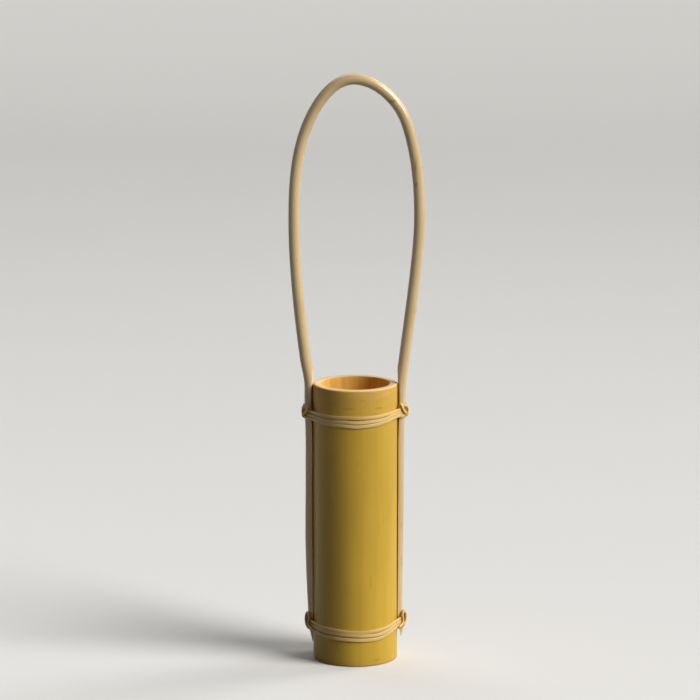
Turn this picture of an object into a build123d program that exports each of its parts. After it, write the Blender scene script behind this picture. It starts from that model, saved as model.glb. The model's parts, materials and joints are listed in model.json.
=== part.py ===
from build123d import *
from math import acos, atan2, cos, pi, radians, sin, sqrt
import os

os.makedirs("parts", exist_ok=True)

# A flower vase made of one length of bamboo, with a bent cane for a handle.
# The cane's two legs are shaved hollow on the inside, seated on the wall of the culm, and
# lashed to it at two heights with split rattan: three turns round the culm and both legs,
# and on each leg a crossed tie that draws the turns together.
# Origin: the axis of the culm, on the surface that the vase stands on. The legs lie along X.

# Culm
culm_diameter = 47.0
culm_height = 157.0
wall_thickness = 4.4
rim_outer_round = 0.8
rim_inner_bevel = 0.5
foot_round = 1.2

# Septum, the culm's own cross wall, which is the vase's floor
foot_wall_thickness = 4.8
foot_bore_height = 6.0
foot_inner_bevel = 0.6
septum_thickness = 3.4
septum_dish = 1.4
septum_fillet = 2.5

# Cane handle: centreline reach to each side of the culm's axis, and the crown's place
overall_height = 330.0
cane_diameter = 6.2
right_reach = 35.6
left_reach = 33.9
crown_offset = 0.9

# Stations up each side of the bow: share of the way out, share of the way up, lean in degrees
right_bow_shares = ((0.20, 0.09, 7.0), (0.80, 0.38, 6.0), (1.0, 0.55, 0.0), (0.26, 0.86, -19.0))
left_bow_shares = ((0.30, 0.09, 7.5), (0.83, 0.34, 4.5), (1.0, 0.535, 0.0), (0.22, 0.84, -21.0))

# Handle legs: from the culm's wall to the outside of the cane, and the whittled tips
rim_leg_thickness = 4.7
low_leg_thickness = 2.9
leg_tip_height = 11.0
leg_tip_thickness = 0.7
leg_tip_width = 2.6
leg_taper_length = 12.5

# Rattan strip, split flat on the inside and widest at half its thickness, and its turns
strip_width = 1.75
strip_thickness = 0.65
strip_inside_share = 0.6
strip_outside_share = 0.5
turns = 3
turn_gap = 0.5
lash_clearance = 0.2

# A strip leans over a little as it climbs, so it begins leaning the other way, in degrees
winding_start_lean = -7.5
upper_tie_start_lean = -31.0
lower_tie_start_lean = -37.5

# Places of the lashings at the legs, from the rim down and from the foot up, how far they sag
# between the legs, and how they spread
upper_lash_drop = 16.4
upper_sag = 1.3
upper_spread = 0.3
lower_lash_height = 20.6
lower_sag = 2.8
lower_spread = 0.1

# Crossed ties, of a narrower strip
tie_width = 1.2
tie_thickness = 0.6
tie_clearance = 0.2
tie_crossing_gap = 0.55
tie_end_gap = 1.1

# Where a tie leaves the outside of the leg, as a share of the angle of the gap behind the turns
tie_peak_share = 0.7

# Directions closer than this are taken as one, and a slope is taken over this share of a run
same_direction = 1e-9
slope_share = 0.001

# Points taken along a strip for each of its own widths or thicknesses, to measure its gaps
points_per_strip = 4

# Sizes that follow
culm_radius = culm_diameter / 2
bore_radius = culm_radius - wall_thickness
foot_bore_radius = culm_radius - foot_wall_thickness
cane_radius = cane_diameter / 2
bow_height = overall_height - cane_radius - culm_height
upper_lash_height = culm_height - upper_lash_drop
turn_pitch = strip_width + turn_gap
lash_half_height = ((turns - 1) * turn_pitch + strip_width) / 2


def leg_centre(height):
    """Distance from the culm's axis to the cane's axis, on the straight leg at a height."""
    rise = (height - lower_lash_height) / (culm_height - lower_lash_height)
    thickness = low_leg_thickness + rise * (rim_leg_thickness - low_leg_thickness)
    return culm_radius + thickness - cane_radius


def biarc_joint(start, start_direction, end, end_direction):
    """Where two tangent arcs meet between two directed points, and their direction there."""
    chord = end - start
    along = chord.dot(start_direction + end_direction)
    spare = 2 * (1 - start_direction.dot(end_direction))
    if spare < same_direction:
        reach = chord.dot(chord) / (2 * along)
    else:
        reach = (sqrt(along**2 + spare * chord.dot(chord)) - along) / spare
    first = start + start_direction * reach
    last = end - end_direction * reach
    return (first + last) / 2, (last - first).normalized()


def draw_route(stations):
    """Draw lines and tangent arcs through stations, each a point and a direction."""
    for (start, start_direction), (end, end_direction) in zip(stations, stations[1:]):
        straight = (end - start).normalized()
        if min(straight.dot(start_direction), straight.dot(end_direction)) > 1 - same_direction:
            Line(start, end)
        else:
            joint, direction = biarc_joint(start, start_direction, end, end_direction)
            TangentArc(start, joint, tangent=start_direction)
            TangentArc(joint, end, tangent=direction)


def bow_side(reach, shares):
    """Stations from a leg's tip to below the crown, on the side of +X, going up."""
    foot = Vector(leg_centre(leg_tip_height), 0, leg_tip_height)
    rim = Vector(leg_centre(culm_height), 0, culm_height)
    up = (rim - foot).normalized()
    stations = [(foot, up), (rim, up)]
    for out, rise, lean in shares:
        point = Vector(rim.X + out * (reach - rim.X), 0, culm_height + rise * bow_height)
        stations.append((point, Vector(sin(radians(lean)), 0, cos(radians(lean)))))
    return stations


def mirrored(stations):
    """The same stations on the side of -X, in the opposite order, so that they go down."""
    return [
        (Vector(-point.X, point.Y, point.Z), Vector(direction.X, -direction.Y, -direction.Z))
        for point, direction in reversed(stations)
    ]


# Culm: wall, rim and foot in one revolved outline, with the dished septum across the bore
with BuildPart() as bamboo_culm:
    with BuildSketch(Plane.XZ) as outline:
        with BuildLine():
            floor_edge = foot_bore_height + septum_thickness
            floor_centre = floor_edge - septum_dish
            TangentArc((0, floor_centre), (bore_radius, floor_edge), tangent=(1, 0))
            Polyline(
                (bore_radius, floor_edge),
                (bore_radius, culm_height),
                (culm_radius, culm_height),
                (culm_radius, 0),
                (foot_bore_radius, 0),
                (foot_bore_radius, foot_bore_height),
            )
            underside_centre = foot_bore_height - septum_dish
            TangentArc((0, underside_centre), (foot_bore_radius, foot_bore_height), tangent=(1, 0))
            Line((0, underside_centre), (0, floor_centre))
        make_face()
        floor_corner = outline.vertices().sort_by_distance((bore_radius, floor_edge))[0]
        fillet(floor_corner, septum_fillet)
    revolve(axis=Axis.Z)
    levels = bamboo_culm.edges().filter_by(GeomType.CIRCLE).group_by(Axis.Z)
    foot_edges = levels[0].sort_by(SortBy.RADIUS)
    rim_edges = levels[-1].sort_by(SortBy.RADIUS)
    fillet(foot_edges[-1], foot_round)
    fillet(rim_edges[-1], rim_outer_round)
    chamfer(foot_edges[0], foot_inner_bevel)
    chamfer(rim_edges[0], rim_inner_bevel)
bamboo_culm.part.label = "bamboo_culm"
export_step(bamboo_culm.part, "parts/bamboo_culm.step")

# Handle: one cane swept from tip to tip, shaved on the inside to the round of the culm, with
# both tips whittled thin from the outside and narrow from the sides
with BuildPart() as cane_handle:
    right_side = bow_side(right_reach, right_bow_shares)
    left_side = mirrored(bow_side(left_reach, left_bow_shares))
    crown = (Vector(-crown_offset, 0, culm_height + bow_height), Vector(-1, 0, 0))
    with BuildLine() as bow:
        draw_route([*right_side, crown, *left_side])
    tip, tip_direction = right_side[0]
    with BuildSketch(Plane(origin=tip, z_dir=tip_direction)):
        Circle(cane_radius)
    sweep(path=bow.wires()[0])
    shave_top = right_side[2][0].Z
    with BuildSketch():
        Circle(culm_radius)
    extrude(amount=shave_top, mode=Mode.SUBTRACT)
    taper_top = leg_tip_height + leg_taper_length
    with BuildSketch(Plane.XZ):
        with BuildLine():
            outer_face = leg_centre(taper_top) + cane_radius
            Polyline(
                (outer_face, taper_top),
                (culm_radius + leg_tip_thickness, leg_tip_height),
                (culm_radius + leg_tip_thickness, 0),
                (outer_face + cane_radius, 0),
                (outer_face + cane_radius, taper_top),
                close=True,
            )
        make_face()
        mirror(about=Plane.YZ)
    extrude(amount=cane_diameter, both=True, mode=Mode.SUBTRACT)
    with BuildSketch(Plane.YZ):
        with BuildLine():
            Polyline(
                (cane_radius, taper_top),
                (leg_tip_width / 2, leg_tip_height),
                (leg_tip_width / 2, 0),
                (cane_diameter, 0),
                (cane_diameter, taper_top),
                close=True,
            )
        make_face()
        mirror(about=Plane.YZ)
    extrude(amount=culm_diameter, both=True, mode=Mode.SUBTRACT)
cane_handle.part.label = "cane_handle"
export_step(cane_handle.part, "parts/cane_handle.step")


def lash_plan(height):
    """Plan of a tight strip round the culm and both legs: stations with their directions."""
    around_culm = culm_radius + lash_clearance + strip_thickness / 2
    around_leg = cane_radius + lash_clearance + strip_thickness / 2
    centre = leg_centre(height)
    leaving = acos((around_culm - around_leg) / centre)
    outward = Vector(cos(leaving), sin(leaving))
    onward = Vector(-sin(leaving), cos(leaving))
    quarter = [
        (Vector(centre + around_leg, 0), Vector(0, 1)),
        (Vector(centre, 0) + outward * around_leg, onward),
        (outward * around_culm, onward),
    ]
    side = (Vector(0, around_culm), Vector(-1, 0))
    second = [
        (Vector(-point.X, point.Y), Vector(direction.X, -direction.Y))
        for point, direction in reversed(quarter[1:])
    ]
    half = [*quarter, side, *second]
    return half + [(-point, -direction) for point, direction in half]


def winding_stations(height, sag, spread):
    """Stations of one strip that climbs turn by turn round the culm and both legs.

    It begins and ends behind the right leg, where the strip meets the culm.
    """
    plan = lash_plan(height)
    first = 2
    start_height = height - (turns + 1) / 2 * turn_pitch
    stations = []
    for index in range(first, first + turns * len(plan) + 1):
        point, direction = plan[index % len(plan)]
        angle = atan2(point.Y, point.X) % (2 * pi)
        turn = index // len(plan) + angle / (2 * pi)
        depth = sag - spread * turn
        z = start_height + turn_pitch * turn - depth * sin(angle) ** 2
        climb = (turn_pitch + spread * sin(angle) ** 2) / (2 * pi) - depth * sin(2 * angle)
        turning = (point.X * direction.Y - point.Y * direction.X) / point.dot(point)
        heading = (direction + Vector(0, 0, climb * turning)).normalized()
        stations.append((point + Vector(0, 0, z), heading))
    return stations


def strip_section(width, thickness, lean):
    """Section of a split strip, with its thickness along X and its flat inside towards -X."""
    inside = strip_inside_share * width / 2
    outside = strip_outside_share * width / 2
    half = thickness / 2
    Polygon(
        (-half, -inside),
        (0, -width / 2),
        (half, -outside),
        (half, outside),
        (0, width / 2),
        (-half, inside),
        rotation=lean,
    )


def section_area(width, thickness):
    """Area of a split strip's section."""
    mean_share = (strip_inside_share + 2 + strip_outside_share) / 4
    return mean_share * width * thickness


def make_winding(name, height, sag, spread):
    """Sweep one winding's strip, from its first end to its last, and return its route."""
    stations = winding_stations(height, sag, spread)
    with BuildPart() as winding:
        with BuildLine() as path:
            draw_route(stations)
        start, direction = stations[0]
        outward = direction.cross(Vector(0, 0, 1))
        with BuildSketch(Plane(origin=start, x_dir=outward, z_dir=direction)):
            strip_section(strip_width, strip_thickness, winding_start_lean)
        sweep(path=path.wires()[0], clean=False)
    winding.part.label = name
    export_step(winding.part, f"parts/{name}.step")
    return winding.part, path.wires()[0]


def least_gap(path, across, apart):
    """Least clearance of a strip to itself, between points further apart along it than given."""
    count = round(points_per_strip * path.length / across)
    points = [path @ (index / count) for index in range(count + 1)]
    skip = round(apart / path.length * count)
    nearest = min(
        (point - other).length
        for index, point in enumerate(points)
        for other in points[index + skip:]
    )
    return nearest - across


def tie_stations(height, side):
    """Stations of a tie that crosses over the turns on one leg and passes behind them."""
    centre = leg_centre(height)
    leaving = acos((culm_radius - cane_radius) / centre)
    span = centre * sin(leaving) / (sqrt(culm_radius) + sqrt(cane_radius)) / 2
    room = span**2
    gap_reach = cane_radius + room
    gap_angle = leaving + atan2(2 * sqrt(cane_radius * room), cane_radius - room)
    peak_angle = tie_peak_share * gap_angle
    strip_outside = cane_radius + lash_clearance + strip_thickness
    over_reach = strip_outside + tie_clearance + tie_thickness / 2
    peak_reach = (over_reach + gap_reach) / 2
    lift = tie_thickness + tie_crossing_gap
    behind_height = lash_half_height
    peak_height = lash_half_height + tie_clearance + tie_width

    def place(angle, reach, rise):
        return Vector(side * (centre + reach * cos(angle)), reach * sin(angle), height + rise)

    def crossing(share, falling, lifted):
        turned = peak_angle * share
        swing = sin(pi / 2 * share)
        reach = over_reach - (over_reach - peak_reach) * swing**2 + lifted * (1 - swing**2)
        return place(turned, reach, falling * peak_height * swing)

    def pass_over(start, falling, lifted):
        stations = []
        for share in (start, 0, -start):
            ahead = crossing(share - slope_share * start, falling, lifted)
            behind = crossing(share + slope_share * start, falling, lifted)
            stations.append((crossing(share, falling, lifted), (ahead - behind).normalized()))
        return stations

    up = Vector(0, 0, 1)
    return [
        (place(-gap_angle, gap_reach, tie_end_gap / 2), up),
        (place(-gap_angle, gap_reach, behind_height), up),
        *pass_over(-1, -1, 0),
        (place(gap_angle, gap_reach, -behind_height), up),
        (place(gap_angle, gap_reach, behind_height), up),
        *pass_over(1, 1, lift),
        (place(-gap_angle, gap_reach, -behind_height), up),
        (place(-gap_angle, gap_reach, -tie_end_gap / 2), up),
    ]


def make_tie(name, height, side, start_lean):
    """Sweep one tie's strip along its crossed route and return its route."""
    stations = tie_stations(height, side)
    with BuildPart() as tie:
        with BuildLine() as path:
            draw_route(stations)
        start, direction = stations[0]
        outward = Vector(start.X - side * leg_centre(height), start.Y)
        with BuildSketch(Plane(origin=start, x_dir=outward, z_dir=direction)):
            strip_section(tie_width, tie_thickness, side * start_lean)
        sweep(path=path.wires()[0], clean=False)
    tie.part.label = name
    export_step(tie.part, f"parts/{name}.step")
    return tie.part, path.wires()[0]


for lash_name, lash_height, sag, spread, tie_lean in (
    ("upper", upper_lash_height, upper_sag, upper_spread, upper_tie_start_lean),
    ("lower", lower_lash_height, lower_sag, lower_spread, lower_tie_start_lean),
):
    solid, route = make_winding(f"{lash_name}_winding", lash_height, sag, spread)
    section = section_area(strip_width, strip_thickness)
    print(lash_name, "winding volume", round(solid.volume, 1), round(section * route.length, 1))
    print("least gap to itself", round(least_gap(route, strip_width, culm_diameter), 2))
    for side_name, side, drop in (("right", 1, 0), ("left", -1, turn_pitch / 2)):
        tie_name = f"{lash_name}_{side_name}_tie"
        solid, route = make_tie(tie_name, lash_height - drop, side, tie_lean)
        section = section_area(tie_width, tie_thickness)
        print(side_name, "tie volume", round(solid.volume, 2), round(section * route.length, 2))
        print("least gap to itself", round(least_gap(route, tie_thickness, cane_diameter), 2))
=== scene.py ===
import bmesh
import bpy
import json
from bpy.props import FloatProperty, FloatVectorProperty, PointerProperty
from math import atan2, cos, pi, radians, sin
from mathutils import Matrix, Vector, noise
from mathutils.geometry import interpolate_bezier

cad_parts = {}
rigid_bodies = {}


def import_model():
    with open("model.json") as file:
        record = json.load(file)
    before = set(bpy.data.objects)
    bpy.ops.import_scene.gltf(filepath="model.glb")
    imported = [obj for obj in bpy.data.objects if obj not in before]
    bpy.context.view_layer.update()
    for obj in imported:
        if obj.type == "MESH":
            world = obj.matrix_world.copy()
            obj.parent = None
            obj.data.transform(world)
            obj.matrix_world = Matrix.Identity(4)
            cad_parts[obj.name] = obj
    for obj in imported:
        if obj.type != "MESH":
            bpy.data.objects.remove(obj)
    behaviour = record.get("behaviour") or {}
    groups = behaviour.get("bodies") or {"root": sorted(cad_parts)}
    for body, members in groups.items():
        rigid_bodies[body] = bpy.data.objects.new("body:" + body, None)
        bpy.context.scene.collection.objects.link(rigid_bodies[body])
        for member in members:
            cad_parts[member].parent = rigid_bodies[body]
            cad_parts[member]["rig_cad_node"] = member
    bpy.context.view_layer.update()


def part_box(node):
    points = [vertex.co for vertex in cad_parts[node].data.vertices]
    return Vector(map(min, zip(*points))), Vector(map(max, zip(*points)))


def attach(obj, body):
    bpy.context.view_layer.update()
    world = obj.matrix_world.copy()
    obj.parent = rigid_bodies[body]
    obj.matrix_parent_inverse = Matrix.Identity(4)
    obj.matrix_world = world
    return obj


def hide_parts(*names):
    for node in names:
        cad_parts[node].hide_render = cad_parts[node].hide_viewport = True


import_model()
culm_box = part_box("bamboo_culm")

bl_info = {
    "name": "Bamboo vase",
    "version": (1, 0, 0),
    "blender": (4, 5, 0),
    "location": "View3D > Sidebar > Vase",
    "description": "A bamboo vase with a bent cane handle that is lashed on with split rattan",
    "category": "Object",
}

# Lengths in the tables below are in millimetres, as measured, and Blender's are in metres
MM = 0.001

# Cane centreline, from each leg's tip to the crown: height and distance from the culm's axis,
# and its lean in degrees where it was measured
RIGHT_BOW = (
    (157, 25.35, 6.0), (172.3, 27.4, 7.0), (221.6, 33.5, 6.0), (250.4, 35.4, 0.0),
    (303.1, 28.0, -19.0),
)
LEFT_BOW = (
    (157, 25.25, 6.0), (172.3, 27.9, 7.5), (214.8, 32.5, 4.5), (247.9, 33.9, 0.0),
    (299.7, 27.0, -21.0),
)
CROWN = (326.9, -0.9)

# Outer face and inner face of each leg, going up: height and distance from the axis
RIGHT_LEG_OUT = (
    (12.9, 25.8), (14.2, 26.4), (16.5, 26.75), (20, 26.6), (33, 26.5), (44, 26.55), (67, 26.85),
    (90, 27.07), (107, 27.15), (127, 27.3), (141, 27.6), (149, 28.0),
)
LEFT_LEG_OUT = (
    (9.7, 24.1), (13, 24.9), (17.5, 25.8), (24, 26.3), (33, 26.8), (44, 27.3), (67, 27.9),
    (90, 27.85), (107, 27.75), (127, 27.75), (141, 28.1), (149, 28.3),
)
RIGHT_LEG_IN = (
    (12.9, 25.3), (14.2, 25.0), (16.5, 24.6), (20, 23.8), (24, 23.5), (180, 23.5),
)
LEFT_LEG_IN = ((9.7, 23.5), (180, 23.5))

# Height up to which the legs are shaved, and how steeply their inner faces open away from the
# culm towards their edges, going up
SHAVED_TOP = 165
GROOVE = (
    (9, 0.0), (24, 0.08), (60, 0.14), (125, 0.16), (136, 0.3), (146, 0.44), (153, 0.38),
    (160, 0.1),
)

# Length over which each leg is whittled narrower towards its tip, and the width taken off
TIP_LENGTH = 12.5
TIP_NARROWING = 0.6

# Heights of the strips at places on their way: turns counted from the right leg, going round
# by the back
UPPER_TURNS = (
    (0.04, 137.5), (0.25, 136.9), (0.5, 138.1), (0.67, 137.25), (0.71, 137.2), (0.75, 136.8),
    (0.79, 137.1), (0.83, 137.45), (0.876, 138.3), (0.912, 139.2), (0.938, 139.9),
    (0.97, 140.2), (1.0, 139.9), (1.25, 138.8), (1.5, 139.9), (1.67, 139.15), (1.71, 139.4),
    (1.75, 139.1), (1.79, 139.35), (1.83, 139.6), (1.876, 140.1), (1.912, 140.95),
    (1.938, 141.5), (1.97, 141.75), (2.0, 141.5), (2.25, 141.0), (2.5, 142.0),
    (2.67, 141.5), (2.71, 141.85), (2.75, 141.8), (2.79, 141.75), (2.83, 141.85),
    (2.876, 142.3), (2.912, 142.6), (2.938, 142.95), (2.97, 143.2), (3.0, 143.0),
    (3.06, 142.7),
)
LOWER_TURNS = (
    (0.04, 18.0), (0.12, 17.0), (0.25, 15.2), (0.5, 17.0), (0.65, 16.0), (0.71, 15.7),
    (0.753, 15.5), (0.79, 15.3), (0.83, 15.35), (0.853, 15.7), (0.878, 16.6), (0.915, 17.95),
    (0.931, 18.5), (0.948, 19.05), (0.97, 19.7), (1.0, 19.9), (1.12, 18.6), (1.25, 17.3),
    (1.5, 19.3), (1.65, 18.6), (1.71, 18.35), (1.753, 18.05), (1.79, 17.8), (1.83, 17.8),
    (1.853, 18.1), (1.878, 18.8), (1.915, 19.95), (1.931, 20.45), (1.948, 20.9), (1.97, 21.45),
    (2.0, 21.6), (2.25, 19.7), (2.5, 21.6), (2.65, 20.5), (2.71, 20.1), (2.753, 19.85),
    (2.79, 19.8), (2.83, 20.1), (2.853, 20.4), (2.878, 20.95), (2.915, 21.95), (2.931, 22.4),
    (2.948, 22.75), (2.97, 23.15), (3.0, 23.25), (3.06, 22.9),
)

# Way of each tie: outward from the axis of its leg, towards the back, and up from the middle
# of the turns. It starts and ends under the turns.
UPPER_TIE = (
    (-0.2, -3.9, -1.0), (0.0, -4.0, 1.0), (0.5, -4.1, 2.4), (1.5, -4.1, 3.3), (2.6, -3.6, 3.8),
    (3.6, -2.7, 3.65), (4.3, -1.8, 2.95), (4.75, -1.2, 1.8), (4.85, -1.1, 0.6),
    (4.75, -1.4, -0.5), (4.5, -1.9, -1.4), (3.95, -2.2, -2.2), (3.2, -2.3, -2.7),
    (2.2, -3.0, -2.9), (1.0, -3.8, -2.9), (-0.2, -4.2, -2.5), (-0.9, -4.4, -1.2),
    (-0.9, -4.4, 1.0), (-0.4, -4.5, 2.4), (0.3, -4.9, 3.9), (1.0, -5.3, 4.7), (1.6, -5.5, 3.5),
    (2.15, -4.9, 2.0), (2.7, -3.95, 0.75), (3.4, -2.9, -0.15), (4.05, -1.2, -1.2),
    (4.3, 0.4, -2.2), (3.9, 1.9, -2.8), (2.9, 3.0, -3.0), (2.0, 3.5, -3.0), (0.6, 4.0, -2.8),
    (-0.4, 4.4, -1.8), (-0.6, 4.4, 0.0), (-0.3, 4.4, 2.2), (0.5, 4.8, 3.4), (1.8, 4.6, 3.9),
    (3.0, 3.5, 3.7), (3.8, 2.4, 2.9), (4.2, 1.6, 1.8), (4.3, 1.4, 0.6), (4.2, 1.8, -0.6),
    (3.6, 3.0, -1.5), (2.8, 4.2, -2.1),
)
LOWER_TIE = (
    (-0.4, -4.3, 0.5), (-0.4, -4.6, -1.8), (0.3, -6.2, -3.3), (1.3, -6.9, -2.7),
    (2.1, -5.5, -2.0), (2.75, -4.2, -1.2), (3.2, -3.3, -0.1), (3.4, -2.9, 1.3),
    (3.2, -3.2, 2.8), (3.05, -3.3, 4.1), (3.15, -2.9, 5.3), (3.7, -1.9, 6.1), (4.3, -1.1, 5.8),
    (4.75, -0.8, 4.8), (4.95, -0.8, 3.4), (4.95, -0.9, 2.0), (4.8, -1.3, 0.7), (4.5, -2.0, -0.4),
    (4.0, -3.0, -1.3), (3.4, -3.7, -2.1), (2.8, -3.6, -2.9), (2.9, -2.6, -3.3),
    (3.5, -1.2, -3.3), (3.75, 0.2, -3.2), (3.7, 1.8, -2.9), (3.1, 3.4, -2.2),
    (2.3, 5.1, -0.6), (1.5, 6.7, 1.4), (0.9, 7.4, 2.8), (0.1, 6.4, 3.6), (-0.5, 4.8, 2.6),
    (-0.6, 4.4, 0.0), (-0.6, 4.8, -2.2), (0.2, 6.4, -3.4), (1.3, 7.0, -2.8), (2.6, 4.9, -2.2),
    (3.7, 2.7, -1.7), (4.15, 1.7, -0.5), (4.3, 1.4, 1.0), (4.25, 1.4, 2.6), (4.1, 1.5, 4.0),
    (3.4, 2.2, 5.0), (2.2, 3.4, 5.0), (1.0, 4.6, 4.1), (0.3, 4.4, 2.4),
)

# The ties' lowest parts lie nearer to the turns than in these ways: height up to which this
# holds, and how much is left of the way down from there
UPPER_LOW = (-1.5, 0.6)
LOWER_LOW = (-0.8, 0.55)

# Each winding: piece, CAD node, heights of its turns, and their middle
WINDINGS = (
    ("upper_rattan_winding", "upper_winding", UPPER_TURNS, 141.0),
    ("lower_rattan_winding", "lower_winding", LOWER_TURNS, 20.4),
)

# Each tie: piece, CAD node, way, how its lowest parts are squeezed, side of the culm, leg,
# middle of the turns there, and how much is left of its reach beyond SNUG_FROM
TIES = (
    ("upper_right_crossed_tie", "upper_right_tie", UPPER_TIE, UPPER_LOW, 1, RIGHT_LEG_OUT, 141.0, 1.0),
    ("upper_left_crossed_tie", "upper_left_tie", UPPER_TIE, UPPER_LOW, -1, LEFT_LEG_OUT, 140.3, 0.55),
    ("lower_right_crossed_tie", "lower_right_tie", LOWER_TIE, LOWER_LOW, 1, RIGHT_LEG_OUT, 20.6, 1.0),
    ("lower_left_crossed_tie", "lower_left_tie", LOWER_TIE, LOWER_LOW, -1, LEFT_LEG_OUT, 19.5, 1.0),
)
SNUG_FROM = 3.8

# The ties' flat sides face away from a line this far inside the axis of their leg
TIE_CENTRE = 8

# Fine splinters that stand off the cane: where each starts, bends and ends
SPLINTERS = (
    ((36.2, -0.9, 277.6), (37.4, -1.0, 278.2), (38.4, -1.1, 279.1)),
    ((33.6, -1.2, 264.3), (32.9, -1.5, 265.1), (32.1, -1.7, 266.2)),
    ((24.2, -1.6, 163.2), (23.1, -2.0, 163.8), (22.0, -2.2, 164.8)),
)

# Small marks on the cane: place, size along each axis, and how dark
CANE_MARKS = (
    ((20.0, -2.4, 315.0), (3.6, 2.4, 1.6), 0.65),
    ((29.2, -2.2, 295.0), (1.6, 2.0, 9.0), 0.3),
    ((33.2, -3.0, 279.0), (0.7, 1.6, 5.0), 0.6),
    ((33.4, -2.8, 268.6), (0.5, 1.4, 2.4), 0.9),
    ((24.9, -3.0, 149.8), (0.3, 1.5, 4.2), 0.8),
)

# Rubbed places on the bamboo: place, size along each axis, and how dark
CULM_SCUFFS = (
    ((-3.5, -23.2, 146.9), (5.0, 3.0, 0.9), 0.35),
    ((12.9, -19.7, 146.6), (4.6, 3.0, 0.8), 0.45),
    ((4.0, -23.2, 151.4), (3.0, 3.0, 0.6), 0.25),
    ((12.5, -20.0, 3.4), (4.0, 3.0, 0.6), 0.4),
)

# Pale places at the bamboo's edges: a patch worn pale at the foot, and painted highlights on the
# rounded lip of the rim and along the front of the foot: place, size along each axis, and how pale
CULM_WEAR_AND_HIGHLIGHTS = (
    ((21.0, -10.4, 3.0), (2.6, 5.0, 1.8), 0.6),
    ((3.0, -23.3, 0.9), (14.0, 4.0, 0.7), 0.5),
    ((17.5, -15.6, 154.0), (7.0, 5.0, 1.6), 0.4),
)

# The bamboo's mesh: its sides, and the cuts between its two ends
CULM_SIDES = 192
CULM_CUTS = 59

# Widths of the rings that the cross wall and the foot's hollow are divided into, going in,
# and how deep their dish is, in metres
DISH_RINGS = (0.0042, 0.004, 0.004, 0.0035, 0.002)
DISH = -0.0014

# Steps round the culm in the plan of a winding
PLAN_STEPS = 1440

# Where the strips grow narrower as they bend round a leg: distance from the middle, the length
# over which they do, and by how much, the first two in metres
NARROW_FROM = 0.0215
NARROW_OVER = 0.0025
NARROWED = 0.17

# The soft lamps: name, azimuth and elevation, strength, angle that it shines from, and tint
LAMPS = (
    ("key", 62, 33, 3.6, 36, (1.0, 0.99, 0.965)),
    ("rim", 128, 34, 1.5, 36, (1.0, 1.0, 1.0)),
    ("back", 196, 35, 1.8, 60, (0.97, 0.98, 1.0)),
)

# What the stage sends back to the object, and the background that is seen
FLOOR_BOUNCE = (0.11, 0.107, 0.103)
WORLD_LIGHT = (1.0, 0.99, 0.97, 1)
WORLD_STRENGTH = 0.04
WORLD_SEEN = (0.78, 0.77, 0.75, 1)

# The camera: its place in metres, how far it looks down in degrees, and its focal length and
# the picture's width in pixels
CAMERA_PLACE = (-0.00294, -2.5, 0.6699)
CAMERA_PITCH = 11.187
FOCAL_PIXELS = 4595
PICTURE_PIXELS = 700


class VaseSizes(bpy.types.PropertyGroup):
    """Sizes of the vase's pieces."""

    culm_radius: FloatProperty(
        name="Culm radius", description="Outside radius of the bamboo",
        default=culm_box[1].x, min=0.01, unit="LENGTH",
    )
    culm_height: FloatProperty(
        name="Culm height", description="From the foot to the rim",
        default=culm_box[1].z, min=0.05, unit="LENGTH",
    )
    wall: FloatProperty(
        name="Wall", description="Thickness of the bamboo at the rim",
        default=0.0044, min=0.001, unit="LENGTH",
    )
    floor_height: FloatProperty(
        name="Floor height", description="Top of the cross wall inside, at its edge",
        default=0.0094, min=0.002, unit="LENGTH",
    )
    foot_wall: FloatProperty(
        name="Foot wall", description="Thickness of the bamboo at the foot",
        default=0.0048, min=0.001, unit="LENGTH",
    )
    foot_hollow: FloatProperty(
        name="Foot hollow", description="Height of the hollow under the cross wall",
        default=0.006, min=0.001, unit="LENGTH",
    )
    cane_radius: FloatProperty(
        name="Cane radius", description="Radius of the handle's cane",
        default=0.0031, min=0.001, unit="LENGTH",
    )
    strip_width: FloatProperty(
        name="Strip width", description="Width of the rattan of the windings",
        default=0.00205, min=0.0005, unit="LENGTH",
    )
    strip_thickness: FloatProperty(
        name="Strip thickness", description="Thickness of the rattan of the windings",
        default=0.0007, min=0.0002, unit="LENGTH",
    )
    tie_width: FloatProperty(
        name="Tie width", description="Width of the rattan of the ties",
        default=0.0019, min=0.0005, unit="LENGTH",
    )
    tie_thickness: FloatProperty(
        name="Tie thickness", description="Thickness of the rattan of the ties",
        default=0.0011, min=0.0002, unit="LENGTH",
    )


class VaseColours(bpy.types.PropertyGroup):
    """Colours of the vase and of the stage."""

    skin: FloatVectorProperty(
        name="Bamboo skin", description="Outside of the bamboo", subtype="COLOR",
        default=(0.59, 0.365, 0.036), min=0, max=1,
    )
    flesh: FloatVectorProperty(
        name="Bamboo inside", description="Wall of the bore", subtype="COLOR",
        default=(0.78, 0.46, 0.1), min=0, max=1,
    )
    end_grain: FloatVectorProperty(
        name="Sawn bamboo", description="Rim and foot", subtype="COLOR",
        default=(0.86, 0.59, 0.32), min=0, max=1,
    )
    cane: FloatVectorProperty(
        name="Cane", description="The handle", subtype="COLOR",
        default=(0.66, 0.49, 0.265), min=0, max=1,
    )
    rattan: FloatVectorProperty(
        name="Rattan", description="The lashings", subtype="COLOR",
        default=(0.74, 0.52, 0.19), min=0, max=1,
    )
    floor: FloatVectorProperty(
        name="Floor", description="Floor and backdrop", subtype="COLOR",
        default=(0.8, 0.79, 0.775), min=0, max=1,
    )


def between(table, at):
    """Value of a table of pairs at a place, on straight lines between its rows."""
    if at <= table[0][0]:
        return table[0][1]
    for (low, first), (high, last) in zip(table, table[1:]):
        if at <= high:
            return first + (last - first) * (at - low) / (high - low)
    return table[-1][1]


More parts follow.
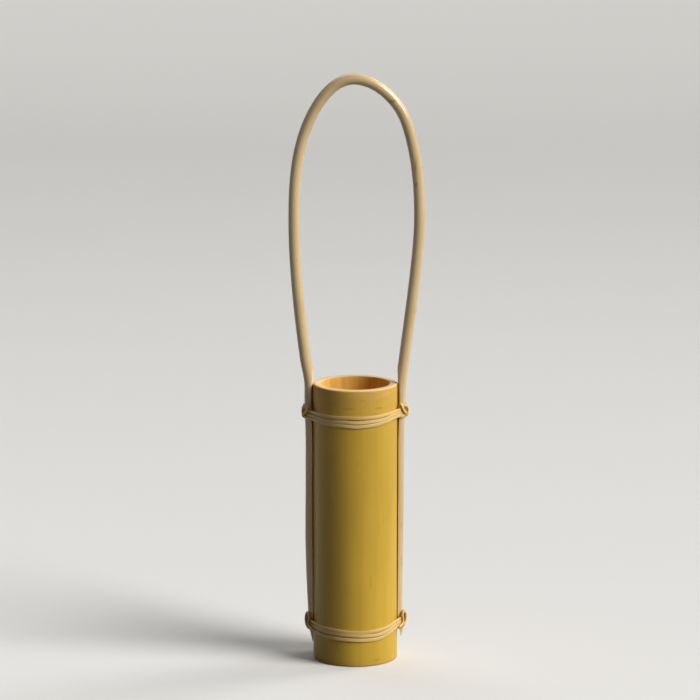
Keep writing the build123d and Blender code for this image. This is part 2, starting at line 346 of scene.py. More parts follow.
def smooth_between(table, at):
    """Value of a table of pairs at a place, on a smooth line through its rows."""
    last = len(table) - 1
    at = min(max(at, table[0][0]), table[last][0])
    row = next(i for i in range(last) if at <= table[i + 1][0])
    slopes = []
    for i in (row, row + 1):
        before, after = table[max(i - 1, 0)], table[min(i + 1, last)]
        slopes.append((after[1] - before[1]) / (after[0] - before[0]))
    (start, first), (end, final) = table[row], table[row + 1]
    span = end - start
    t = (at - start) / span
    rise = t * t * (3 - 2 * t)
    bend = slopes[0] * t * (1 - t) ** 2 - slopes[1] * t * t * (1 - t)
    return first + (final - first) * rise + span * bend


def directions(points):
    """Direction of a line at each of its points."""
    last = len(points) - 1
    return [
        (points[min(i + 1, last)] - points[max(i - 1, 0)]).normalized()
        for i in range(last + 1)
    ]


def smooth_route(stations, headings=None):
    """Closely set points on a smooth curve through stations, with headings where known."""
    steps = 24
    last = len(stations) - 1
    found = []
    for i, point in enumerate(stations):
        before = stations[max(i - 1, 0)]
        after = stations[min(i + 1, last)]
        behind, ahead = point - before, after - point
        heading = headings[i] if headings else None
        if heading is None:
            if i in (0, last):
                heading = after - before
            else:
                heading = behind * ahead.length / behind.length
                heading += ahead * behind.length / ahead.length
        found.append(heading.normalized())
    route = [stations[0]]
    for i in range(last):
        first, second = stations[i], stations[i + 1]
        reach = (second - first).length / 3
        handles = first + found[i] * reach, second - found[i + 1] * reach
        route += interpolate_bezier(first, *handles, second, steps)[1:]
    return route


def evenly(route, spacing):
    """The same route as points at even distances, and that distance."""
    lengths = [0.0]
    for first, second in zip(route, route[1:]):
        lengths.append(lengths[-1] + (second - first).length)
    count = max(2, round(lengths[-1] / spacing))
    points = []
    run = 0
    for i in range(count + 1):
        target = lengths[-1] * i / count
        while run < len(route) - 2 and lengths[run + 1] < target:
            run += 1
        share = (target - lengths[run]) / max(lengths[run + 1] - lengths[run], 1e-12)
        points.append(route[run].lerp(route[run + 1], min(share, 1.0)))
    return points, lengths[-1] / count


def start_piece(name):
    """Leave every object deselected, and take away an earlier piece of the same name."""
    if bpy.context.object and bpy.context.object.mode != "OBJECT":
        bpy.ops.object.mode_set(mode="OBJECT")
    old = bpy.data.objects.get(name)
    if old and "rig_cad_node" not in old:
        bpy.data.objects.remove(old)
    bpy.ops.object.select_all(action="DESELECT")


def pick(obj, kind, test):
    """Select the faces or edges that pass a test, and nothing else, in edit mode."""
    bpy.ops.mesh.select_mode(type=kind)
    bpy.ops.mesh.select_all(action="DESELECT")
    mesh = bmesh.from_edit_mesh(obj.data)
    chosen = [item for item in (mesh.faces if kind == "FACE" else mesh.edges) if test(item)]
    for item in chosen:
        item.select_set(True)
    mesh.select_flush_mode()
    bmesh.update_edit_mesh(obj.data)
    if not chosen:
        raise RuntimeError(f"{obj.name}: nothing to select")


def finish_piece(obj, name, nodes, material, angle):
    """Close up a piece's mesh, set its place, name, body and material."""
    bpy.ops.object.mode_set(mode="EDIT")
    bpy.ops.mesh.select_all(action="SELECT")
    bpy.ops.mesh.normals_make_consistent(inside=False)
    bpy.ops.object.mode_set(mode="OBJECT")
    bpy.ops.object.transform_apply(location=True, rotation=True, scale=True)
    bpy.ops.object.shade_smooth_by_angle(angle=radians(angle))
    obj.name = name
    obj.data.name = name
    obj.data.materials.clear()
    obj.data.materials.append(material)
    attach(obj, "root")
    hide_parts(*nodes)
    return obj


def straight_piece(name, sides, rings, spacing):
    """A straight rod of radius 1 along Z, made by extruding a disc ring by ring."""
    start_piece(name)
    bpy.ops.mesh.primitive_circle_add(vertices=sides, radius=1, fill_type="NGON")
    obj = bpy.context.object
    bpy.ops.object.mode_set(mode="EDIT")
    bpy.ops.mesh.select_all(action="SELECT")
    bpy.ops.mesh.extrude_repeat(steps=rings, offset=(0, 0, spacing))
    bpy.ops.object.mode_set(mode="OBJECT")
    return obj


def lay_along(obj, points, spacing, outward, section):
    """Bend a straight rod along a route: each ring gets its section, out and across.

    The rod's straight coordinates stay on it as an attribute, for the grain.
    """
    mesh = obj.data
    straight = mesh.attributes.new("straight", "FLOAT_VECTOR", "POINT")
    along = directions(points)
    for vertex in mesh.vertices:
        ring = min(round(vertex.co.z / spacing), len(points) - 1)
        heading = along[ring]
        out = outward(ring, points[ring])
        out = (out - heading * out.dot(heading)).normalized()
        across = heading.cross(out)
        x, y = section(ring, vertex.co.x, vertex.co.y)
        straight.data[vertex.index].vector = (x, y, ring * spacing)
        vertex.co = points[ring] + out * x + across * y
    mesh.update()


def add_node(tree, kind, inputs=None, **settings):
    """Add a node, set it, and feed its inputs with values or with other nodes' sockets."""
    node = tree.nodes.new(kind)
    for key, value in settings.items():
        setattr(node, key, value)
    for key, value in (inputs or {}).items():
        if isinstance(value, bpy.types.NodeSocket):
            tree.links.new(value, node.inputs[key])
        else:
            node.inputs[key].default_value = value
    return node


def blend(tree, share, below, above):
    """Mix two colours by a share."""
    ends = [
        value if isinstance(value, bpy.types.NodeSocket) else (*value, 1.0)
        for value in (below, above)
    ]
    node = add_node(
        tree, "ShaderNodeMix", {0: share, 6: ends[0], 7: ends[1]}, data_type="RGBA"
    )
    return node.outputs[2]


def step_between(tree, value, low, high, top=1.0):
    """Rise smoothly from 0 to a top value while a value goes from low to high."""
    node = add_node(
        tree, "ShaderNodeMapRange", {0: value, 1: low, 2: high, 3: 0.0, 4: top},
        interpolation_type="SMOOTHSTEP",
    )
    return node.outputs[0]


def sum_up(tree, first, second, kind="ADD"):
    """Sum of two values, or another operation on them."""
    return add_node(tree, "ShaderNodeMath", {0: first, 1: second}, operation=kind).outputs[0]


def stretched(tree, vector, scale, detail=2.0, rough=0.5):
    """Noise with a scale of its own along each axis."""
    place = add_node(tree, "ShaderNodeMapping", {"Vector": vector, "Scale": scale})
    cloud = add_node(
        tree, "ShaderNodeTexNoise",
        {"Vector": place.outputs[0], "Scale": 1.0, "Detail": detail, "Roughness": rough},
    )
    return cloud.outputs["Fac"]


def spots(tree, vector, marks):
    """Soft spots at given places, each with a size and a strength, the strongest on top."""
    total = None
    for place, size, strength in marks:
        moved = add_node(
            tree, "ShaderNodeMapping",
            {
                "Vector": vector,
                "Location": [value * MM for value in place],
                "Scale": [value * MM for value in size],
            },
            vector_type="TEXTURE",
        )
        ball = add_node(
            tree, "ShaderNodeTexGradient", {"Vector": moved.outputs[0]},
            gradient_type="SPHERICAL",
        )
        soft = step_between(tree, ball.outputs["Fac"], 0.0, 0.7, strength)
        total = soft if total is None else sum_up(tree, total, soft, "MAXIMUM")
    return total


def new_material(name):
    """A material with an empty node tree, its shader and its output."""
    old = bpy.data.materials.get(name)
    if old:
        bpy.data.materials.remove(old)
    material = bpy.data.materials.new(name)
    material.use_nodes = True
    tree = material.node_tree
    tree.nodes.clear()
    shader = tree.nodes.new("ShaderNodeBsdfPrincipled")
    output = tree.nodes.new("ShaderNodeOutputMaterial")
    tree.links.new(shader.outputs[0], output.inputs[0])
    return material, tree, shader


def shaded(colour, factor):
    """A colour made lighter or darker."""
    return tuple(min(1.0, channel * factor) for channel in colour)


def tinted(colour, factors):
    """A colour with each of its channels made lighter or darker."""
    return tuple(channel * factor for channel, factor in zip(colour, factors))


def layered(tree, tone, colour, layers):
    """Lay tints of a colour over a tone, each by its share."""
    for share, factors in layers:
        tone = blend(tree, share, tone, tinted(colour, factors))
    return tone


def streaky_gloss(tree, streaks, smoothest, roughest):
    """Roughness that rises with the streaks."""
    ends = {0: streaks, 1: 0.3, 2: 0.8, 3: smoothest, 4: roughest}
    return add_node(tree, "ShaderNodeMapRange", ends).outputs[0]


def fibre_relief(tree, streaks, fibres):
    """Height of streaks and fibres together."""
    low = sum_up(tree, streaks, 0.6, "MULTIPLY")
    fine = sum_up(tree, fibres, 0.4, "MULTIPLY")
    return sum_up(tree, low, fine)


def add_bump(tree, shader, height, strength, distance=0.00012):
    """Give a shader the relief of a height."""
    ends = {"Strength": strength, "Distance": distance, "Height": height}
    bump = add_node(tree, "ShaderNodeBump", ends)
    tree.links.new(bump.outputs[0], shader.inputs["Normal"])


def bamboo_skin(tree, place, skin, streaks, fibres, sanded, rubbed):
    """Yellow skin: streaks, fibres, flecks, rubs below the rim, scuffs, wear, painted highlights."""
    broad = stretched(tree, place, (38, 38, 14))
    flecks = stretched(tree, place, (900, 900, 55), detail=1.0)
    tone = blend(tree, step_between(tree, broad, 0.3, 0.7), shaded(skin, 0.93), shaded(skin, 1.07))
    return layered(tree, tone, skin, (
        (step_between(tree, streaks, 0.35, 0.75, 0.22), (0.72, 0.66, 0.6)),
        (step_between(tree, fibres, 0.45, 0.8, 0.16), (1.2, 1.25, 1.7)),
        (step_between(tree, flecks, 0.66, 0.78, 0.3), (0.5, 0.42, 0.35)),
        (sum_up(tree, sanded, 0.6, "MULTIPLY"), (1.08, 0.99, 2.4)),
        (sum_up(tree, rubbed, 0.22, "MULTIPLY"), (0.66, 0.6, 0.7)),
        (spots(tree, place, CULM_SCUFFS), (0.5, 0.46, 0.6)),
        # A pale patch worn at the foot, and painted highlights on the rim's lip and the foot's front
        # edge
        (spots(tree, place, CULM_WEAR_AND_HIGHLIGHTS), (1.2, 1.12, 3.4)),
    ))


def bamboo_flesh(tree, place, flesh, height):
    """Orange flesh of the bore, with grain along it, and painted shade towards the cross wall."""
    grain = stretched(tree, place, (520, 520, 9), detail=4.0, rough=0.65)
    inner = blend(
        tree, step_between(tree, grain, 0.3, 0.75), shaded(flesh, 1.06),
        tinted(flesh, (0.86, 0.76, 0.6)),
    )
    return layered(tree, inner, flesh, (
        # Painted shade: the wall of the bore darkens towards the cross wall, deep inside
        (step_between(tree, height, 0.03, 0.008, 0.45), (0.6, 0.5, 0.4)),
    ))


def bamboo_end(tree, place, flat, radius, pale, sizes):
    """Pale sawn ends, with dots that grow darker towards the skin."""
    pores = add_node(tree, "ShaderNodeTexVoronoi", {"Vector": flat, "Scale": 2300.0})
    dots = step_between(tree, pores.outputs["Distance"], 0.36, 0.1, 0.55)
    outer = step_between(tree, radius, sizes.culm_radius - 0.004, sizes.culm_radius - 0.0008)
    dots = sum_up(tree, dots, outer, "MULTIPLY")
    cloud = stretched(tree, place, (240, 240, 240))
    sawn = blend(tree, cloud, shaded(pale, 0.94), shaded(pale, 1.05))
    return layered(tree, sawn, pale, ((dots, (0.66, 0.5, 0.34)),))


def bamboo_material(sizes, colours):
    """Satin skin with fibres along the culm, orange flesh inside, and sawn ends with dots."""
    material, tree, shader = new_material("bamboo")
    place = tree.nodes.new("ShaderNodeTexCoord").outputs["Object"]
    height = add_node(tree, "ShaderNodeSeparateXYZ", {0: place}).outputs["Z"]
    flat = add_node(
        tree, "ShaderNodeVectorMath", {0: place, 1: (1, 1, 0)}, operation="MULTIPLY"
    ).outputs[0]
    radius = add_node(tree, "ShaderNodeVectorMath", {0: flat}, operation="LENGTH").outputs[1]
    streaks = stretched(tree, place, (330, 330, 7), detail=3.0)
    fibres = stretched(tree, place, (1500, 1500, 22), detail=3.0, rough=0.6)
    rubs = stretched(tree, place, (70, 70, 420), detail=3.0, rough=0.6)

    top = sizes.culm_height
    sanded = sum_up(
        tree, step_between(tree, height, top - 0.0145, top - 0.0115, 0.45),
        step_between(tree, height, top - 0.0068, top - 0.0042, 0.55),
    )
    rubbed = sum_up(tree, sanded, step_between(tree, rubs, 0.4, 0.75), "MULTIPLY")
    inside = step_between(tree, radius, sizes.culm_radius - 0.0016, sizes.culm_radius - 0.0022)
    ends = sum_up(
        tree,
        step_between(tree, height, top - 0.0005, top - 0.0002),
        step_between(tree, height, 0.0010, 0.0005),
        "MAXIMUM",
    )
    outer = bamboo_skin(tree, place, colours.skin, streaks, fibres, sanded, rubbed)
    inner = bamboo_flesh(tree, place, colours.flesh, height)
    sawn = bamboo_end(tree, place, flat, radius, colours.end_grain, sizes)
    colour = blend(tree, ends, blend(tree, inside, outer, inner), sawn)
    tree.links.new(colour, shader.inputs["Base Color"])

    bare = sum_up(tree, inside, ends, "MAXIMUM")
    gloss = streaky_gloss(tree, streaks, 0.34, 0.46)
    gloss = sum_up(tree, gloss, sum_up(tree, sanded, 0.14, "MULTIPLY"))
    gloss = sum_up(tree, gloss, sum_up(tree, bare, 0.3, "MULTIPLY"))
    tree.links.new(gloss, shader.inputs["Roughness"])
    relief = fibre_relief(tree, streaks, fibres)
    relief = sum_up(tree, relief, sum_up(tree, rubbed, 0.3, "MULTIPLY"), "SUBTRACT")
    add_bump(tree, shader, relief, 0.35)
    shader.inputs["Specular IOR Level"].default_value = 0.35
    return material


def cane_material(colours):
    """Peeled cane: fine fibres along it, faint blotches, small nicks, pale whittled faces."""
    material, tree, shader = new_material("cane")
    place = tree.nodes.new("ShaderNodeTexCoord").outputs["Object"]
    line = add_node(tree, "ShaderNodeAttribute", attribute_name="straight").outputs["Vector"]
    shaved = add_node(tree, "ShaderNodeAttribute", attribute_name="whittled").outputs["Fac"]
    cane = colours.cane
    broad = stretched(tree, line, (90, 90, 22), detail=3.0)
    streaks = stretched(tree, line, (620, 620, 14), detail=3.0, rough=0.6)
    fibres = stretched(tree, line, (2200, 2200, 40))
    specks = stretched(tree, line, (700, 700, 160), detail=1.0)
    tone = blend(
        tree, step_between(tree, broad, 0.3, 0.7), tinted(cane, (0.92, 0.88, 0.8)),
        shaded(cane, 1.06),
    )
    tone = layered(tree, tone, cane, (
        (step_between(tree, streaks, 0.42, 0.75, 0.34), (0.74, 0.66, 0.52)),
        (step_between(tree, fibres, 0.5, 0.8, 0.22), (1.15, 1.22, 1.5)),
        (step_between(tree, specks, 0.68, 0.78, 0.45), (0.5, 0.38, 0.25)),
        (spots(tree, place, CANE_MARKS), (0.4, 0.26, 0.14)),
        (shaved, (1.16, 1.14, 1.1)),
    ))
    tree.links.new(tone, shader.inputs["Base Color"])
    gloss = streaky_gloss(tree, streaks, 0.28, 0.42)
    gloss = sum_up(tree, gloss, sum_up(tree, shaved, 0.2, "MULTIPLY"))
    tree.links.new(gloss, shader.inputs["Roughness"])
    add_bump(tree, shader, fibre_relief(tree, streaks, fibres), 0.4)
    shader.inputs["Coat Weight"].default_value = 0.5
    shader.inputs["Coat Roughness"].default_value = 0.24
    return material


def rattan_material(colours):
    """Split rattan: glossy outside with fine lines along it, and painted shade along its edges."""
    material, tree, shader = new_material("rattan")
    line = add_node(tree, "ShaderNodeAttribute", attribute_name="straight").outputs["Vector"]
    across = add_node(tree, "ShaderNodeSeparateXYZ", {0: line})
    side = add_node(tree, "ShaderNodeMath", {0: across.outputs["Y"]}, operation="ABSOLUTE")
    rattan = colours.rattan
    broad = stretched(tree, line, (200, 200, 30), detail=3.0)
    streaks = stretched(tree, line, (1900, 1900, 26), rough=0.6)
    specks = stretched(tree, line, (1300, 1300, 220), detail=1.0)
    tone = blend(
        tree, step_between(tree, broad, 0.3, 0.7), tinted(rattan, (0.88, 0.82, 0.72)),
        shaded(rattan, 1.08),
    )
    tone = layered(tree, tone, rattan, (
        (step_between(tree, streaks, 0.42, 0.72, 0.4), (0.72, 0.62, 0.46)),
        (step_between(tree, specks, 0.66, 0.78, 0.4), (0.5, 0.38, 0.24)),
        # Painted shade: each strip darkens towards its edges, standing in for the shade between strips
        (step_between(tree, side.outputs[0], 0.0006, 0.00102, 0.5), (0.66, 0.55, 0.4)),
    ))
    tree.links.new(tone, shader.inputs["Base Color"])
    tree.links.new(streaky_gloss(tree, streaks, 0.33, 0.5), shader.inputs["Roughness"])
    add_bump(tree, shader, streaks, 0.4, 0.0001)
    return material


class VASE_OT_culm(bpy.types.Operator):
    """Model the bamboo: wall, rounded rim and foot, and the dished cross wall"""

    bl_idname = "vase.culm"
    bl_label = "Bamboo culm"

    def execute(self, context):
        sizes = context.scene.vase_sizes
        radius, height = sizes.culm_radius, sizes.culm_height
        start_piece("bamboo_vase_culm")
        bpy.ops.mesh.primitive_cylinder_add(
            vertices=CULM_SIDES, radius=radius, depth=height, location=(0, 0, height / 2),
            end_fill_type="NGON",
        )
        culm = context.object
        bpy.ops.object.transform_apply(location=True, rotation=True, scale=True)
        bpy.ops.object.mode_set(mode="EDIT")

        def level(item, z):
            return all(abs(vertex.co.z - z) < 1e-6 for vertex in item.verts)

        def ring(item, z, reach):
            return level(item, z) and all(
                abs(vertex.co.xy.length - reach) < 2e-5 for vertex in item.verts
            )

        bore = radius - sizes.wall
        foot_bore = radius - sizes.foot_wall
        for end, wall, depth in (
            (height, sizes.wall, sizes.floor_height - height),
            (0.0, sizes.foot_wall, sizes.foot_hollow),
        ):
            pick(culm, "FACE", lambda face: level(face, end))
            bpy.ops.mesh.inset(thickness=wall, depth=0)
            bpy.ops.mesh.extrude_region_move(TRANSFORM_OT_translate={"value": (0, 0, depth)})
            reach = radius - wall
            left = reach
            for step in DISH_RINGS:
                bpy.ops.mesh.inset(thickness=step, depth=0)
                now = left - step
                fall = DISH * ((left / reach) ** 2 - (now / reach) ** 2)
                bpy.ops.transform.translate(value=(0, 0, fall))
                left = now
            bpy.ops.mesh.poke()

        edges = (
            (sizes.floor_height, bore, 0.0025, 6),
            (height, radius, 0.0010, 5),
            (height, bore, 0.0005, 2),
            (0.0, radius, 0.0012, 5),
            (0.0, foot_bore, 0.0006, 2),
        )
        for z, reach, size, segments in edges:
            pick(culm, "EDGE", lambda edge: ring(edge, z, reach))
            bpy.ops.mesh.bevel(offset=size, segments=segments, profile=0.5, affect="EDGES")
        pick(
            culm, "EDGE",
            lambda edge: abs(edge.verts[0].co.z - edge.verts[1].co.z) > height / 2,
        )
        bpy.ops.mesh.subdivide(number_cuts=CULM_CUTS)
        bpy.ops.object.mode_set(mode="OBJECT")
        for vertex in culm.data.vertices:
            place = vertex.co
            drift = noise.noise(Vector((place.x * 26, place.y * 26, place.z * 9)))
            ripple = noise.noise(Vector((place.x * 120, place.y * 120, place.z * 16 + 7)))
            share = 1 + (0.00010 * drift + 0.00004 * ripple) / radius
            vertex.co = Vector((place.x * share, place.y * share, place.z))
        material = bamboo_material(sizes, context.scene.vase_colours)
        finish_piece(culm, "bamboo_vase_culm", ["bamboo_culm"], material, 35)
        return {"FINISHED"}


def leg_axis(table, height):
    """Distance from the culm's axis to a leg's axis, at a height in millimetres."""
    cane_radius = bpy.context.scene.vase_sizes.cane_radius
    return smooth_between(table, height) * MM - cane_radius


def handle_route():
    """Centreline of the cane, from the right leg's tip over the crown to the left leg's tip."""
    halves = []
    for side, legs, bow in ((1, RIGHT_LEG_OUT, RIGHT_BOW), (-1, LEFT_LEG_OUT, LEFT_BOW)):
        stations = [
            (Vector((side * leg_axis(legs, height), 0, height * MM)), None)
            for height, _ in legs
        ]
        for height, reach, lean in bow:
            heading = Vector((side * sin(radians(lean)), 0, cos(radians(lean))))
            stations.append((Vector((side * reach * MM, 0, height * MM)), heading))
        halves.append(stations)
    right, left = halves
    crown = (Vector((CROWN[1] * MM, 0, CROWN[0] * MM)), Vector((-1, 0, 0)))
    back = [(point, None if heading is None else -heading) for point, heading in reversed(left)]
    route = [*right, crown, *back]
    return smooth_route([point for point, _ in route], [heading for _, heading in route])


class VASE_OT_handle(bpy.types.Operator):
    """Model the bent cane with its shaved legs and whittled tips"""

    bl_idname = "vase.handle"
    bl_label = "Cane handle"

    def execute(self, context):
        sizes = context.scene.vase_sizes
        cane_radius = sizes.cane_radius
        points, spacing = evenly(handle_route(), 0.0013)
        cane = straight_piece("bent_cane_handle", 32, len(points) - 1, spacing)

        def outward(ring, point):
            return Vector((0, -1, 0))

        def section(ring, x, y):
            where = ring * spacing
            swell = 1 + 0.012 * noise.noise(Vector((x * 0.6, y * 0.6, where * 60)))
            swell += 0.008 * noise.noise(Vector((0, 3, where * 220)))
            return x * cane_radius * swell, y * cane_radius * swell

        lay_along(cane, points, spacing, outward, section)
        whittled = cane.data.attributes.new("whittled", "FLOAT", "POINT")
        edge_fade = 0.0005
        for vertex in cane.data.vertices:
            x, y, z = vertex.co
            side = 1 if x > 0 else -1
            outer = RIGHT_LEG_OUT if side > 0 else LEFT_LEG_OUT
            inner = RIGHT_LEG_IN if side > 0 else LEFT_LEG_IN
            tip = outer[0][0] * MM
            if z > SHAVED_TOP * MM:
                continue
            narrow = max(0.0, 1 - (z - tip) / (TIP_LENGTH * MM))
            y *= 1 - TIP_NARROWING * min(narrow, 1.0) ** 1.3
            wall = smooth_between(inner, z / MM) * MM
            wall += abs(y) * between(GROOVE, z / MM)
            cut = wall - side * x
            if cut > 0:
                x = side * wall
            whittled.data[vertex.index].value = min(1.0, max(0.0, 1 + cut / edge_fade))
            vertex.co = (x, y, z)
        cane = self.add_splinters(context, cane)
        material = cane_material(context.scene.vase_colours)
        finish_piece(cane, "bent_cane_handle", ["cane_handle"], material, 50)
        return {"FINISHED"}

    def add_splinters(self, context, cane):
        """Join fine pointed splinters onto the cane."""
        for row in SPLINTERS:
            route = smooth_route([Vector(place) * MM for place in row])
            points, spacing = evenly(route, 0.0002)
            splinter = straight_piece("splinter", 6, len(points) - 1, spacing)
            count = len(points) - 1
            lay_along(
                splinter, points, spacing, lambda ring, point: Vector((0, -1, 0)),
                lambda ring, x, y: (
                    x * 0.00016 * (1.1 - ring / count), y * 0.0002 * (1.1 - ring / count)
                ),
            )
            pale = splinter.data.attributes.new("whittled", "FLOAT", "POINT")
            for item in pale.data:
                item.value = 1.0
            bpy.ops.object.select_all(action="DESELECT")
            splinter.select_set(True)
            cane.select_set(True)
            context.view_layer.objects.active = cane
            bpy.ops.object.join()
        return cane


def wound_plan(right_axis, left_axis, leg_radius, core_radius, lift):
    """Plan of a strip pulled tight round the culm and both legs, with its outward normals."""
    circles = ((0.0, core_radius), (right_axis, leg_radius), (-left_axis, leg_radius))
    plan = []
    for step in range(PLAN_STEPS):
        angle = 2 * pi * step / PLAN_STEPS
        normal = Vector((cos(angle), sin(angle), 0))
        centre, radius = max(circles, key=lambda circle: circle[0] * normal.x + circle[1])
        plan.append((Vector((centre, 0, 0)) + normal * (radius + lift), normal))
    return plan


def nearest_normals(points, route, normals):
    """A route's normals at the places nearest to points that follow it."""
    nearest = []
    step = 0
    last = len(route) - 1
    for point in points:
        while step < last and (route[step + 1] - point).length <= (route[step] - point).length:
            step += 1
        nearest.append(normals[step])
    return nearest


class VASE_OT_windings(bpy.types.Operator):
    """Wind three turns of split rattan round the culm and both legs, at two heights"""

    bl_idname = "vase.windings"
    bl_label = "Windings"

    def execute(self, context):
        sizes = context.scene.vase_sizes
        thickness, width = sizes.strip_thickness, sizes.strip_width
        material = rattan_material(context.scene.vase_colours)
        for name, node, heights, middle in WINDINGS:
            plan = wound_plan(
                leg_axis(RIGHT_LEG_OUT, middle), leg_axis(LEFT_LEG_OUT, middle),
                sizes.cane_radius, sizes.culm_radius, thickness * 0.47,
            )
            first = round(heights[0][0] * len(plan))
            last = round(heights[-1][0] * len(plan))
            route, normals = [], []
            for step in range(first, last + 1):
                point, normal = plan[step % len(plan)]
                turn = (step // len(plan)) + (atan2(point.y, point.x) % (2 * pi)) / (2 * pi)
                route.append(point + Vector((0, 0, smooth_between(heights, turn) * MM)))
                normals.append(normal)
            points, spacing = evenly(route, 0.0008)
            strip = straight_piece(name, 16, len(points) - 1, spacing)
            count = len(points) - 1
            nearest = nearest_normals(points, route, normals)

            def outward(ring, point):
                return nearest[ring]

            def section(ring, x, y):
                ends = min(ring, count - ring) * spacing
                thin = min(1.0, 0.35 + ends / 0.004)
                wave = 1 + 0.07 * noise.noise(Vector((ring * spacing * 70, 5, middle)))
                depth = abs(x) ** 0.55 * (1 if x > 0 else -0.86)
                spread = abs(y) ** 0.7 * (1 if y > 0 else -1)
                beside = max(0.0, abs(points[ring].x) - NARROW_FROM) / NARROW_OVER
                wave *= 1 - NARROWED * min(beside, 1.0)
                return depth * thickness / 2 * thin, spread * width / 2 * wave * thin ** 0.5

            lay_along(strip, points, spacing, outward, section)
            finish_piece(strip, name, [node], material, 60)
        return {"FINISHED"}


def squeezed(rise, low, share):
    """A tie's height in millimetres, to two places, with less of what lies below a level."""
    return round(low + (rise - low) * share, 2) if rise < low else rise


class VASE_OT_ties(bpy.types.Operator):
    """Tie each winding to each leg with a narrower strip that loops and crosses over it"""

    bl_idname = "vase.ties"
    bl_label = "Crossed ties"

    def execute(self, context):
        sizes = context.scene.vase_sizes
        material = bpy.data.materials.get("rattan") or rattan_material(context.scene.vase_colours)
        for name, node, stations, lowest, side, legs, middle, snug in TIES:
            axis = Vector((side * leg_axis(legs, middle), 0, middle * MM))
            places = []
            for out, back, rise in stations:
                out = min(out, SNUG_FROM) + max(out - SNUG_FROM, 0.0) * snug
                rise = squeezed(rise, *lowest)
                places.append(axis + Vector((side * out, back, rise)) * MM)
            points, spacing = evenly(smooth_route(places), 0.0004)
            tie = straight_piece(name, 12, len(points) - 1, spacing)
            count = len(points) - 1

            def outward(ring, point):
                return Vector((point.x - axis.x + side * TIE_CENTRE * MM, point.y, 0))

            def section(ring, x, y):
                ends = min(ring, count - ring) * spacing
                thin = min(1.0, 0.4 + ends / 0.002)
                depth = abs(x) ** 0.75 * (1 if x > 0 else -0.86)
                spread = abs(y) ** 0.75 * (1 if y > 0 else -1)
                return (
                    depth * sizes.tie_thickness / 2 * thin, spread * sizes.tie_width / 2 * thin
                )

            lay_along(tie, points, spacing, outward, section)
            finish_piece(tie, name, [node], material, 60)
        return {"FINISHED"}


def seen_share(tree):
    """1 where the stage is seen directly, in a reflection or through glass, else 0."""
    path = tree.nodes.new("ShaderNodeLightPath")
    seen = sum_up(tree, path.outputs["Is Camera Ray"], path.outputs["Is Glossy Ray"], "MAXIMUM")
    return sum_up(tree, seen, path.outputs["Is Transmission Ray"], "MAXIMUM")


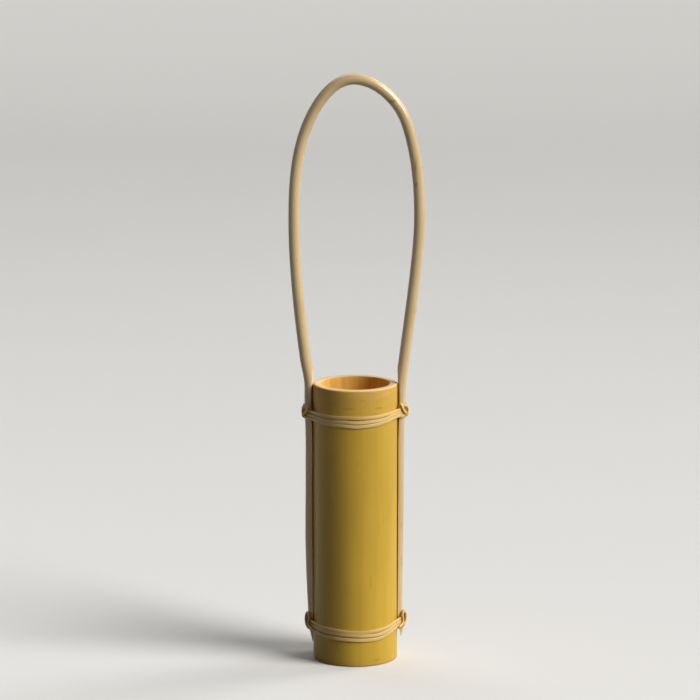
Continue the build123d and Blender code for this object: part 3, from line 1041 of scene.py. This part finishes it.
class VASE_OT_stage(bpy.types.Operator):
    """Set up the floor with its curved backdrop, the soft lights and the camera"""

    bl_idname = "vase.stage"
    bl_label = "Stage"

    def execute(self, context):
        scene = context.scene
        colours = scene.vase_colours
        start_piece("stage_floor")
        bpy.ops.mesh.primitive_plane_add(size=1, location=(0, 0, 0))
        floor = context.object
        bpy.ops.transform.resize(value=(9, 7, 1))
        bpy.ops.object.transform_apply(location=True, rotation=True, scale=True)
        bpy.ops.object.mode_set(mode="EDIT")
        pick(floor, "EDGE", lambda edge: all(vertex.co.y > 3.4 for vertex in edge.verts))
        bpy.ops.mesh.extrude_region_move(TRANSFORM_OT_translate={"value": (0, 0, 4)})
        pick(
            floor, "EDGE",
            lambda edge: all(vertex.co.y > 3.4 and vertex.co.z < 0.1 for vertex in edge.verts),
        )
        bpy.ops.mesh.bevel(offset=1.6, segments=24, profile=0.5, affect="EDGES")
        bpy.ops.object.mode_set(mode="OBJECT")
        bpy.ops.object.shade_smooth()
        floor.name = "stage_floor"
        material, tree, shader = new_material("stage_paper")
        place = tree.nodes.new("ShaderNodeTexCoord").outputs["Object"]
        cloud = stretched(tree, place, (1.6, 1.6, 1.6), detail=4.0)
        tone = blend(tree, cloud, shaded(colours.floor, 0.97), shaded(colours.floor, 1.03))
        tone = blend(tree, seen_share(tree), FLOOR_BOUNCE, tone)
        tree.links.new(tone, shader.inputs["Base Color"])
        shader.inputs["Roughness"].default_value = 0.9
        shader.inputs["Specular IOR Level"].default_value = 0.2
        floor.data.materials.clear()
        floor.data.materials.append(material)

        world = bpy.data.worlds.get("studio") or bpy.data.worlds.new("studio")
        scene.world = world
        world.use_nodes = True
        tree = world.node_tree
        tree.nodes.clear()
        dim = add_node(
            tree, "ShaderNodeBackground", {"Color": WORLD_LIGHT, "Strength": WORLD_STRENGTH}
        )
        pale = add_node(tree, "ShaderNodeBackground", {"Color": WORLD_SEEN, "Strength": 1.0})
        either = add_node(
            tree, "ShaderNodeMixShader",
            {0: seen_share(tree), 1: dim.outputs[0], 2: pale.outputs[0]},
        )
        output = tree.nodes.new("ShaderNodeOutputWorld")
        tree.links.new(either.outputs[0], output.inputs[0])

        for name, azimuth, elevation, strength, spread, tint in LAMPS:
            start_piece(name)
            a, e = radians(azimuth), radians(elevation)
            away = Vector((sin(a) * cos(e), -cos(a) * cos(e), sin(e)))
            bpy.ops.object.light_add(type="SUN", location=away * 2)
            lamp = context.object
            lamp.name = name
            lamp.rotation_euler = away.to_track_quat("Z", "Y").to_euler()
            lamp.data.energy = strength
            lamp.data.angle = radians(spread)
            lamp.data.color = tint

        start_piece("camera")
        bpy.ops.object.camera_add(
            location=CAMERA_PLACE, rotation=(radians(90 - CAMERA_PITCH), 0, 0)
        )
        camera = context.object
        camera.name = "camera"
        camera.data.sensor_width = 36
        camera.data.lens = 36 * FOCAL_PIXELS / PICTURE_PIXELS
        camera.data.clip_end = 50
        scene.camera = camera
        scene.view_settings.view_transform = "Standard"
        return {"FINISHED"}


class VASE_PT_panel(bpy.types.Panel):
    """Sizes, colours and operators of the bamboo vase"""

    bl_label = "Bamboo vase"
    bl_idname = "VASE_PT_panel"
    bl_space_type = "VIEW_3D"
    bl_region_type = "UI"
    bl_category = "Vase"

    def draw(self, context):
        layout = self.layout
        for group in (context.scene.vase_sizes, context.scene.vase_colours):
            column = layout.column()
            for name in group.__annotations__:
                column.prop(group, name)
        for operator in OPERATORS:
            layout.operator(operator.bl_idname)


OPERATORS = (
    VASE_OT_culm, VASE_OT_handle, VASE_OT_windings, VASE_OT_ties, VASE_OT_stage,
)
CLASSES = (VaseSizes, VaseColours, *OPERATORS, VASE_PT_panel)


def register():
    for cls in CLASSES:
        bpy.utils.register_class(cls)
    bpy.types.Scene.vase_sizes = PointerProperty(type=VaseSizes)
    bpy.types.Scene.vase_colours = PointerProperty(type=VaseColours)


def unregister():
    del bpy.types.Scene.vase_colours
    del bpy.types.Scene.vase_sizes
    for cls in reversed(CLASSES):
        bpy.utils.unregister_class(cls)


def main():
    """Register the add-on, and build every piece and the stage."""
    register()
    bpy.ops.vase.culm()
    bpy.ops.vase.handle()
    bpy.ops.vase.windings()
    bpy.ops.vase.ties()
    bpy.ops.vase.stage()


if __name__ == "__main__":
    main()
